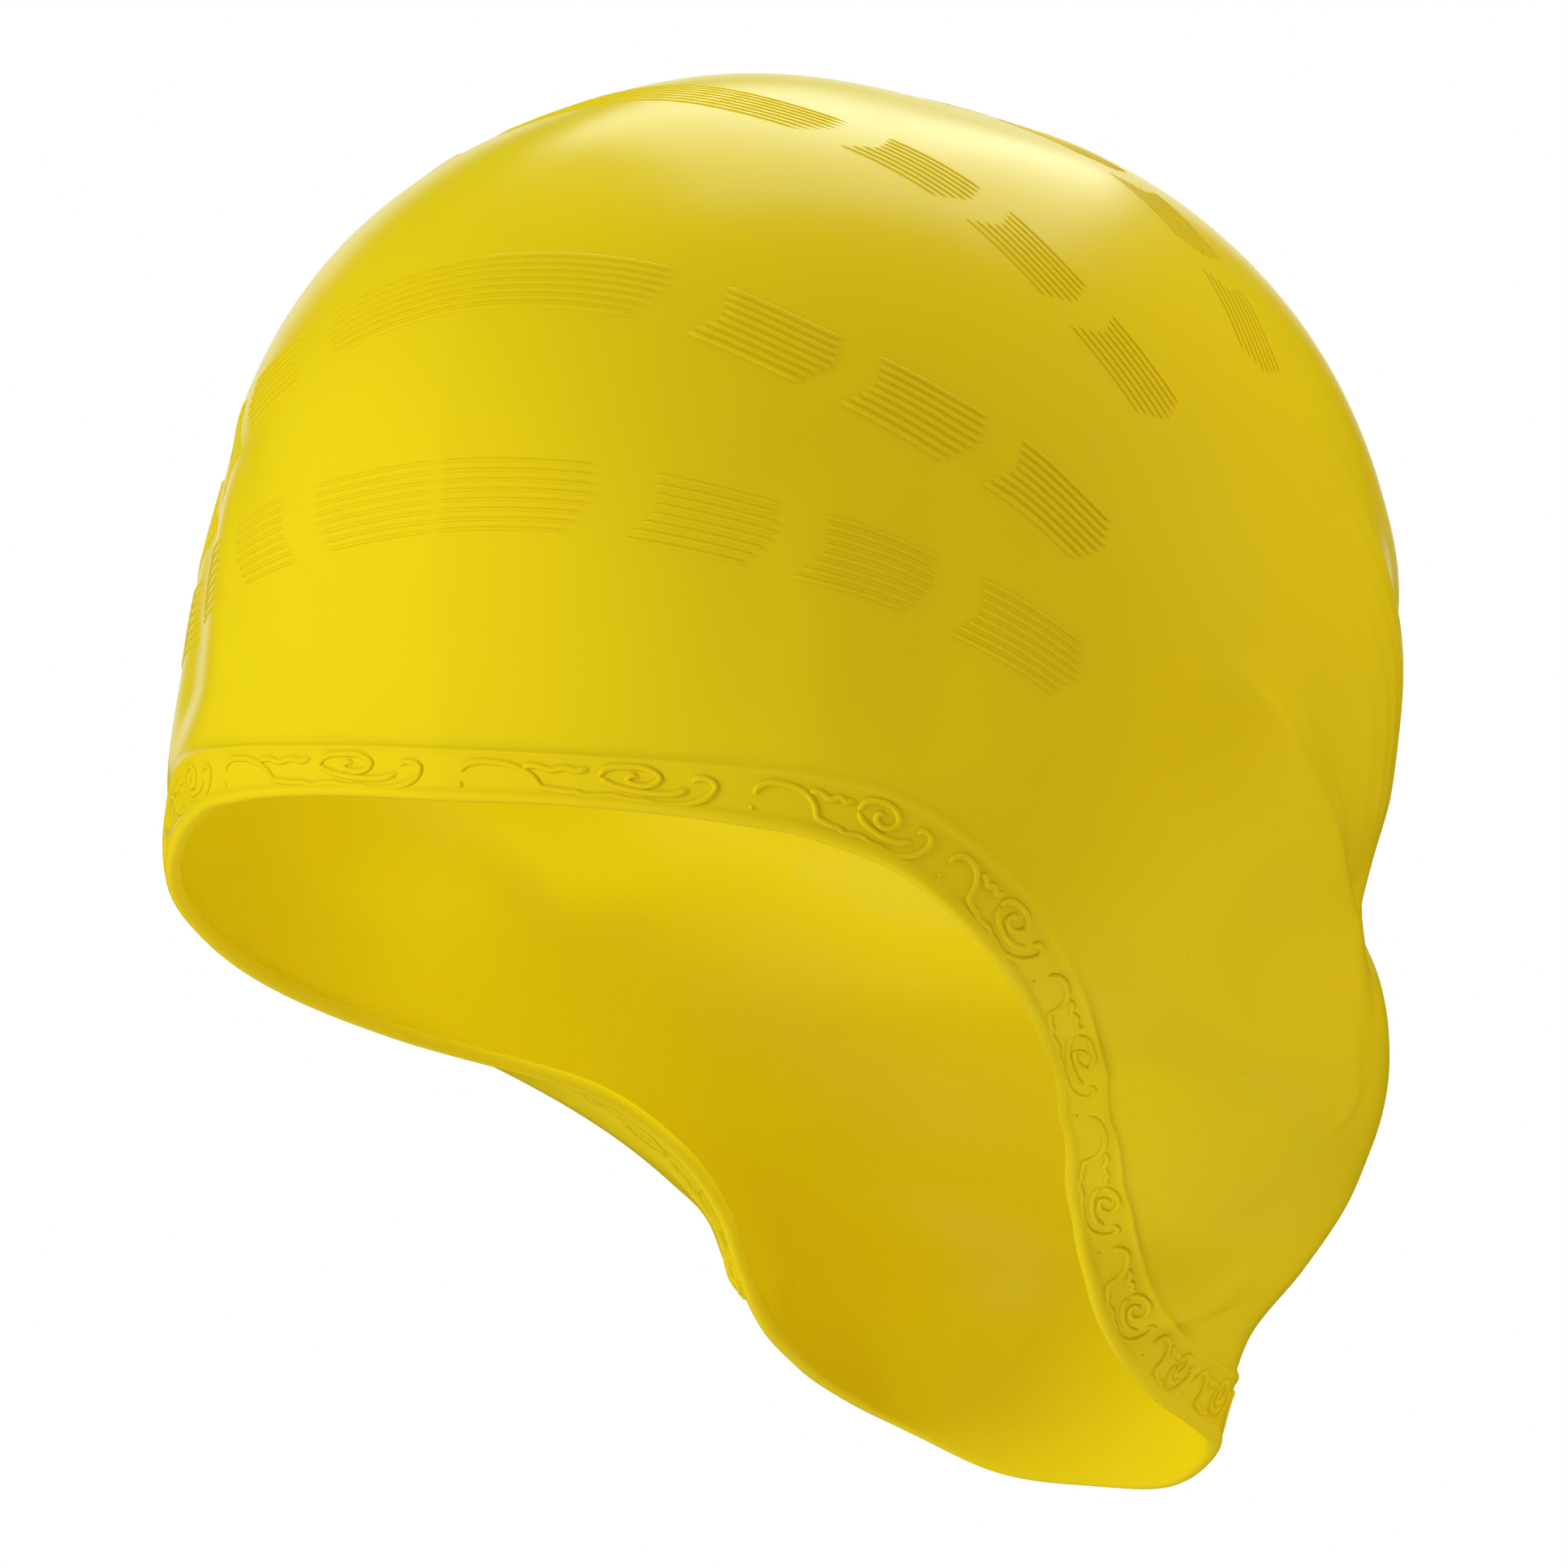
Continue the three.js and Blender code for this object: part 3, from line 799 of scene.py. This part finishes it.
def wall_lift(points):
    """How far the finer folds lift the wall off the plain form. They die out in the stiff band."""
    from_spine = points[..., 1] - SECTION_CURVES["spine"](depth_root(points[..., 2]))
    azimuth = np.abs(np.arctan2(points[..., 0], -from_spine))
    lift = np.zeros(azimuth.shape)
    for _, *fold in FOLD_LINES:
        lift = lift + line_lift(np.degrees(azimuth) * MM_PER_DEGREE, points[..., 2], *fold)
    share = np.clip((points[..., 2] - edge_height(azimuth)) / BAND_FADE, 0, 1)
    return centre_crease(points) + lift * share * share * (3 - 2 * share)


def column_runs(count):
    """Distances along half of the edge, closer where the columns spread out above it."""
    ways = unit(EDGE_POINTS - CENTRE)
    aside = unit(np.cross(unit(POLE - CENTRE), [1.0, 0, 0]))
    spread = np.unwrap(np.arctan2(ways @ aside, ways[:, 0]))
    spread = (spread - spread[0]) / (spread[-1] - spread[0])
    mixed = SPREAD_SHARE * spread + (1 - SPREAD_SHARE) * EDGE_RUNS / EDGE_LENGTH
    return np.interp(np.linspace(0, 1, count + 1), mixed, EDGE_RUNS)


def cap_rings(columns, rows, inner_rows, wall):
    """Places of the cap's skin: a line for each column, up the outside and then up the inside."""
    runs = column_runs(columns // 2)
    lip_rows, outer_rows = len(LIP["up"]), rows - 1
    ups = np.concatenate([LIP["up"], INNER_UPS])
    band, band_normals = band_places(*np.meshgrid(runs, ups, indexing="ij"))
    top = band[:, lip_rows - 1]
    outer = pole_columns(top, np.arange(1, rows) / rows)
    inner = pole_columns(top, np.arange(inner_rows) / inner_rows)
    wall_way = wall_normals(np.concatenate([outer, inner], 1))
    places = np.concatenate([band[:, :lip_rows], outer, band[:, lip_rows:], inner], 1)
    normals = np.concatenate(
        [
            band_normals[:, :lip_rows],
            wall_way[:, :outer_rows],
            band_normals[:, lip_rows:],
            wall_way[:, outer_rows:],
        ],
        1,
    )
    inner_count = len(INNER_UPS) + inner_rows
    proud = np.concatenate([LIP["proud"], np.zeros(outer_rows), np.full(inner_count, -wall)])
    half = places + normals * (proud + wall_lift(places))[..., None]
    half[[0, -1], :, 0] = 0
    return np.concatenate([half, half[-2:0:-1] * [-1, 1, 1]])


def cap_skin(columns, rows, inner_rows, wall):
    """Vertices and faces of the cap's closed skin, in metres."""
    rings = cap_rings(columns, rows, inner_rows, wall)
    per_ring = rings.shape[1]
    inner_pole_place = POLE - wall_normals(POLE) * wall
    vertices = np.concatenate([rings.reshape(-1, 3), [POLE, inner_pole_place]])
    outer_pole, inner_pole = len(vertices) - 2, len(vertices) - 1
    outer_last = len(LIP["up"]) + rows - 2
    inner_first = outer_last + 1
    faces = []
    for k in range(columns):
        a, b = k * per_ring, (k + 1) % columns * per_ring
        for row in range(outer_last):
            faces.append((a + row, b + row, b + row + 1, a + row + 1))
        faces.append((a + outer_last, b + outer_last, outer_pole))
        faces.append((b, a, a + inner_first, b + inner_first))
        for row in range(inner_first, per_ring - 1):
            faces.append((b + row, a + row, a + row + 1, b + row + 1))
        faces.append((b + per_ring - 1, a + per_ring - 1, inner_pole))
    return to_frame(vertices), faces


def rib_lines(ribs, pitch, sink):
    """Lines of all the ribs, in metres, and their sizes: chevron tabs along the four hoops."""
    lines, sizes = [], []
    drifts = [HOOP_DRIFT[name] for name in ("first", "second", "third", "fourth")]
    offsets = (np.arange(ribs) - (ribs - 1) / 2)[:, None] * pitch
    shifts = TAB_POINT * (1 - 2 * np.abs(offsets) / (ribs * pitch)) + TAB_SLANT * offsets
    shares = np.linspace(0, 1, RIB_STEPS)
    for drift_values, swing, middle, length, gap, size in zip(drifts, *HOOPS.values()):
        drift = smooth_curve(HOOP_DRIFT["run"], drift_values)
        tabs = [(-middle, middle, -1, 1)]
        for n in range(SIDE_TABS):
            start = middle + gap + n * (length + gap)
            tabs.append((start, start + length, 1, 1))
            tabs.append((-start, -start - length, -1, -1))
        for start, end, start_way, end_way in tabs:
            first, last = start + start_way * shifts, end + end_way * shifts
            runs = first + (last - first) * shares
            places, normals = hoop_places(swing, runs, offsets + drift(runs))
            places = places + normals * (wall_lift(places) + sink * size)[..., None]
            lines.extend(to_frame(places))
            sizes.extend([size] * ribs)
    return lines, sizes


def motif_line(points, steps):
    """A smooth line through a motif's places."""
    points = np.array(points, float)
    knots = np.append(0, np.cumsum(np.hypot(*np.diff(points, axis=0).T) + SMALL))
    places = np.linspace(0, knots[-1], steps)
    return np.stack([smooth_curve(knots, points[:, axis])(places) for axis in range(2)], -1)


def scroll_lines(sink):
    """Lines of the scroll along the whole edge, in metres."""
    run_at = smooth_curve(SCROLL_RUNS["motif"], SCROLL_RUNS["run"])
    lines = []
    for motif in range(int(SCROLL_RUNS["motif"][0]), int(SCROLL_RUNS["motif"][-1])):
        for points, steps in SCROLL_PARTS:
            line = np.array(points, float)
            line[:, 0] = run_at(motif + line[:, 0])
            lines.append(motif_line(line, steps))
    places, normals = band_places(*np.concatenate(lines).T)
    places = places + normals * (wall_lift(places) + sink)[:, None]
    return np.split(to_frame(places), np.cumsum([len(line) for line in lines])[:-1])


def way_to(azimuth, elevation):
    """Direction from the cap, as the camera and the lights are placed."""
    turn, rise = math.radians(azimuth), math.radians(elevation)
    flat = math.cos(rise)
    return Vector((math.sin(turn) * flat, -math.cos(turn) * flat, math.sin(rise)))


def plain_material(name, colour, roughness):
    """A plain matt material."""
    material = bpy.data.materials.new(name)
    material.use_nodes = True
    shader = material.node_tree.nodes["Principled BSDF"]
    shader.inputs["Base Color"].default_value = (*colour, 1)
    shader.inputs["Roughness"].default_value = roughness
    return material


def build_floor(colour):
    """A plain floor well under the cap."""
    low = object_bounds()[0][2] - FLOOR_DROP
    corners = [(-1, -1), (1, -1), (1, 1), (-1, 1)]
    vertices = [(x * FLOOR_HALF, y * FLOOR_HALF, low) for x, y in corners]
    floor = new_mesh_object("floor", vertices, [(0, 1, 2, 3)])
    floor.data.materials.append(plain_material("Pale Floor", colour, FLOOR_ROUGHNESS))
    floor.visible_glossy = False
    floor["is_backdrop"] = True


def build_sky(scene, strength):
    """Even warm light all round without a reflection of its own, and a white background."""
    world = bpy.data.worlds.new("Even Sky")
    world.use_nodes = True
    nodes, link = world.node_tree.nodes, world.node_tree.links.new
    mix = nodes.new("ShaderNodeMix")
    mix.data_type = "RGBA"
    mix.inputs["A"].default_value = (*(strength * part for part in SKY_COLOUR), 1)
    mix.inputs["B"].default_value = (1, 1, 1, 1)
    link(nodes.new("ShaderNodeLightPath").outputs["Is Camera Ray"], mix.inputs["Factor"])
    link(mix.outputs["Result"], nodes["Background"].inputs["Color"])
    world.cycles_visibility.glossy = False
    scene.world = world


def add_softbox(aim, name, azimuth, elevation, roll, distance, size, power, colour, reflected):
    """A rectangular area light that faces the cap, rolled in its own plane."""
    data = bpy.data.lights.new(name, "AREA")
    data.shape = "RECTANGLE"
    data.size, data.size_y = size
    data.energy = power
    data.color = colour
    light = new_object(name, data)
    light.location = aim + way_to(azimuth, elevation) * distance
    facing = (aim - light.location).to_track_quat("-Z", "Y")
    light.rotation_euler = (facing @ Quaternion((0, 0, 1), math.radians(roll))).to_euler()
    light.visible_glossy = reflected


def add_hollow_lamp(place, radius, power, colour):
    """A soft lamp inside the cap, which stands in for light that comes through the thin wall."""
    data = bpy.data.lights.new("hollow", "POINT")
    data.shadow_soft_size = radius * MM
    data.energy = power
    data.color = colour
    light = new_object("hollow", data)
    light.location = to_frame(np.array(place))
    light.visible_glossy = False
    light.visible_camera = False


def place_camera(scene, aim, distance):
    """The camera at the photograph's angle, with its frame."""
    data = bpy.data.cameras.new("camera")
    data.sensor_width = SENSOR_MM
    data.lens = SENSOR_MM * distance / (PHOTO_PIXELS / PIXELS_PER_MM * MM)
    camera = new_object("camera", data)
    camera.location = aim + way_to(VIEW_AZIMUTH, VIEW_ELEVATION) * distance
    camera.rotation_euler = (aim - camera.location).to_track_quat("-Z", "Y").to_euler()
    scene.camera = camera


class SwimCapBody(bpy.types.PropertyGroup):
    """Sizes and finish of the cap body."""

    wall: bpy.props.FloatProperty(
        name="Wall", description="Thickness of the silicone", default=WALL * MM, unit="LENGTH"
    )
    columns: bpy.props.IntProperty(
        name="Columns", description="Mesh columns round the edge", default=440, min=24
    )
    rows: bpy.props.IntProperty(
        name="Rows", description="Mesh rows from the band to the crown", default=150, min=12
    )
    inner_rows: bpy.props.IntProperty(
        name="Inner Rows", description="Mesh rows on the inside", default=40, min=12
    )
    colour: bpy.props.FloatVectorProperty(
        name="Colour",
        description="Colour of the silicone",
        subtype="COLOR",
        default=(0.75, 0.55, 0.006),
        min=0,
        max=1,
    )
    roughness: bpy.props.FloatProperty(
        name="Roughness", description="Roughness of the silicone", default=0.25, min=0, max=1
    )


class SwimCapRibs(bpy.types.PropertyGroup):
    """Sizes of the rib tabs."""

    ribs: bpy.props.IntProperty(
        name="Ribs", description="Ribs side by side in each tab", default=8, min=1
    )
    pitch: bpy.props.FloatProperty(
        name="Pitch", description="Distance from rib to rib", default=0.0012, unit="LENGTH"
    )
    radius: bpy.props.FloatProperty(
        name="Radius", description="Radius of a rib's round top", default=0.0004, unit="LENGTH"
    )
    height: bpy.props.FloatProperty(
        name="Height", description="How far a rib stands proud", default=0.00026, unit="LENGTH"
    )


class SwimCapScroll(bpy.types.PropertyGroup):
    """Sizes of the scroll along the edge."""

    radius: bpy.props.FloatProperty(
        name="Radius", description="Radius of the scroll's line", default=0.00045, unit="LENGTH"
    )
    height: bpy.props.FloatProperty(
        name="Height",
        description="How far the scroll stands proud of the band",
        default=0.00038,
        unit="LENGTH",
    )


class SwimCapStudio(bpy.types.PropertyGroup):
    """The floor, the light and the camera."""

    floor_colour: bpy.props.FloatVectorProperty(
        name="Floor Colour",
        description="Colour of the floor",
        subtype="COLOR",
        default=(0.92, 0.92, 0.92),
        min=0,
        max=1,
    )
    sky: bpy.props.FloatProperty(
        name="Sky", description="Strength of the even light all round", default=0.48, min=0
    )
    distance: bpy.props.FloatProperty(
        name="Distance", description="From the cap to the camera", default=1.5, unit="LENGTH"
    )


class SWIMCAP_OT_body(bpy.types.Operator):
    """Build the cap's body: wall, edge bead, band and folds"""

    bl_idname = "swimcap.body"
    bl_label = "Cap Body"

    def execute(self, context):
        settings = context.scene.swim_cap_body
        vertices, faces = cap_skin(
            settings.columns, settings.rows, settings.inner_rows, settings.wall / MM
        )
        body = new_mesh_object("cap_body", vertices, faces)
        finish_piece(body, cap_material(context.scene))
        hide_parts(NODE)
        return {"FINISHED"}


class SWIMCAP_OT_ribs(bpy.types.Operator):
    """Build the raised rib tabs over the crown"""

    bl_idname = "swimcap.ribs"
    bl_label = "Rib Tabs"

    def execute(self, context):
        settings = context.scene.swim_cap_ribs
        material = cap_material(context.scene)
        sink = (settings.height - settings.radius) / MM
        lines, sizes = rib_lines(settings.ribs, settings.pitch / MM, sink)
        tip = settings.radius * RIB_TIP
        ribs = swept_ridges("rib_tabs", lines, sizes, settings.radius, tip, material)
        finish_piece(ribs, material)
        return {"FINISHED"}


class SWIMCAP_OT_scroll(bpy.types.Operator):
    """Build the raised scroll along the edge band"""

    bl_idname = "swimcap.scroll"
    bl_label = "Edge Scroll"

    def execute(self, context):
        settings = context.scene.swim_cap_scroll
        material = cap_material(context.scene)
        band = float(np.interp(SCROLL_MIDDLE, LIP["up"][LIP_TURN:], LIP["proud"][LIP_TURN:]))
        sink = band + (settings.height - settings.radius) / MM
        lines, tip = scroll_lines(sink), settings.radius * SCROLL_TIP
        sizes = [1.0] * len(lines)
        scroll = swept_ridges("edge_scroll", lines, sizes, settings.radius, tip, material)
        finish_piece(scroll, material)
        return {"FINISHED"}


class SWIMCAP_OT_studio(bpy.types.Operator):
    """Set up the floor, the lights and the camera"""

    bl_idname = "swimcap.studio"
    bl_label = "Studio"

    def execute(self, context):
        settings = context.scene.swim_cap_studio
        build_floor(tuple(settings.floor_colour))
        build_sky(context.scene, settings.sky)
        aim = Vector(to_frame(VIEW_AIM))
        for light in LIGHTS:
            add_softbox(aim, *light)
        add_hollow_lamp(*HOLLOW_LAMP)
        place_camera(context.scene, aim, settings.distance)
        context.scene.view_settings.view_transform = "Standard"
        return {"FINISHED"}


class SWIMCAP_PT_tools(bpy.types.Panel):
    """Settings and build steps of the swim cap"""

    bl_idname = "SWIMCAP_PT_tools"
    bl_label = "Swim Cap"
    bl_space_type = "VIEW_3D"
    bl_region_type = "UI"
    bl_category = "Swim Cap"

    def draw(self, context):
        for group, operator in STEPS:
            box = self.layout.box()
            settings = getattr(context.scene, group)
            for name in settings.__annotations__:
                box.prop(settings, name)
            box.operator(operator)


STEPS = [
    ("swim_cap_body", "swimcap.body"),
    ("swim_cap_ribs", "swimcap.ribs"),
    ("swim_cap_scroll", "swimcap.scroll"),
    ("swim_cap_studio", "swimcap.studio"),
]
SETTINGS = {
    "swim_cap_body": SwimCapBody,
    "swim_cap_ribs": SwimCapRibs,
    "swim_cap_scroll": SwimCapScroll,
    "swim_cap_studio": SwimCapStudio,
}
CLASSES = (
    *SETTINGS.values(),
    SWIMCAP_OT_body,
    SWIMCAP_OT_ribs,
    SWIMCAP_OT_scroll,
    SWIMCAP_OT_studio,
    SWIMCAP_PT_tools,
)


def register():
    """Add the settings, the operators and the panel."""
    for cls in CLASSES:
        bpy.utils.register_class(cls)
    for name, cls in SETTINGS.items():
        setattr(bpy.types.Scene, name, bpy.props.PointerProperty(type=cls))


def unregister():
    """Take them out again."""
    for name in SETTINGS:
        delattr(bpy.types.Scene, name)
    for cls in reversed(CLASSES):
        bpy.utils.unregister_class(cls)


def main():
    """Build the whole scene."""
    register()
    bpy.ops.swimcap.body()
    bpy.ops.swimcap.ribs()
    bpy.ops.swimcap.scroll()
    bpy.ops.swimcap.studio()


if __name__ == "__main__":
    main()
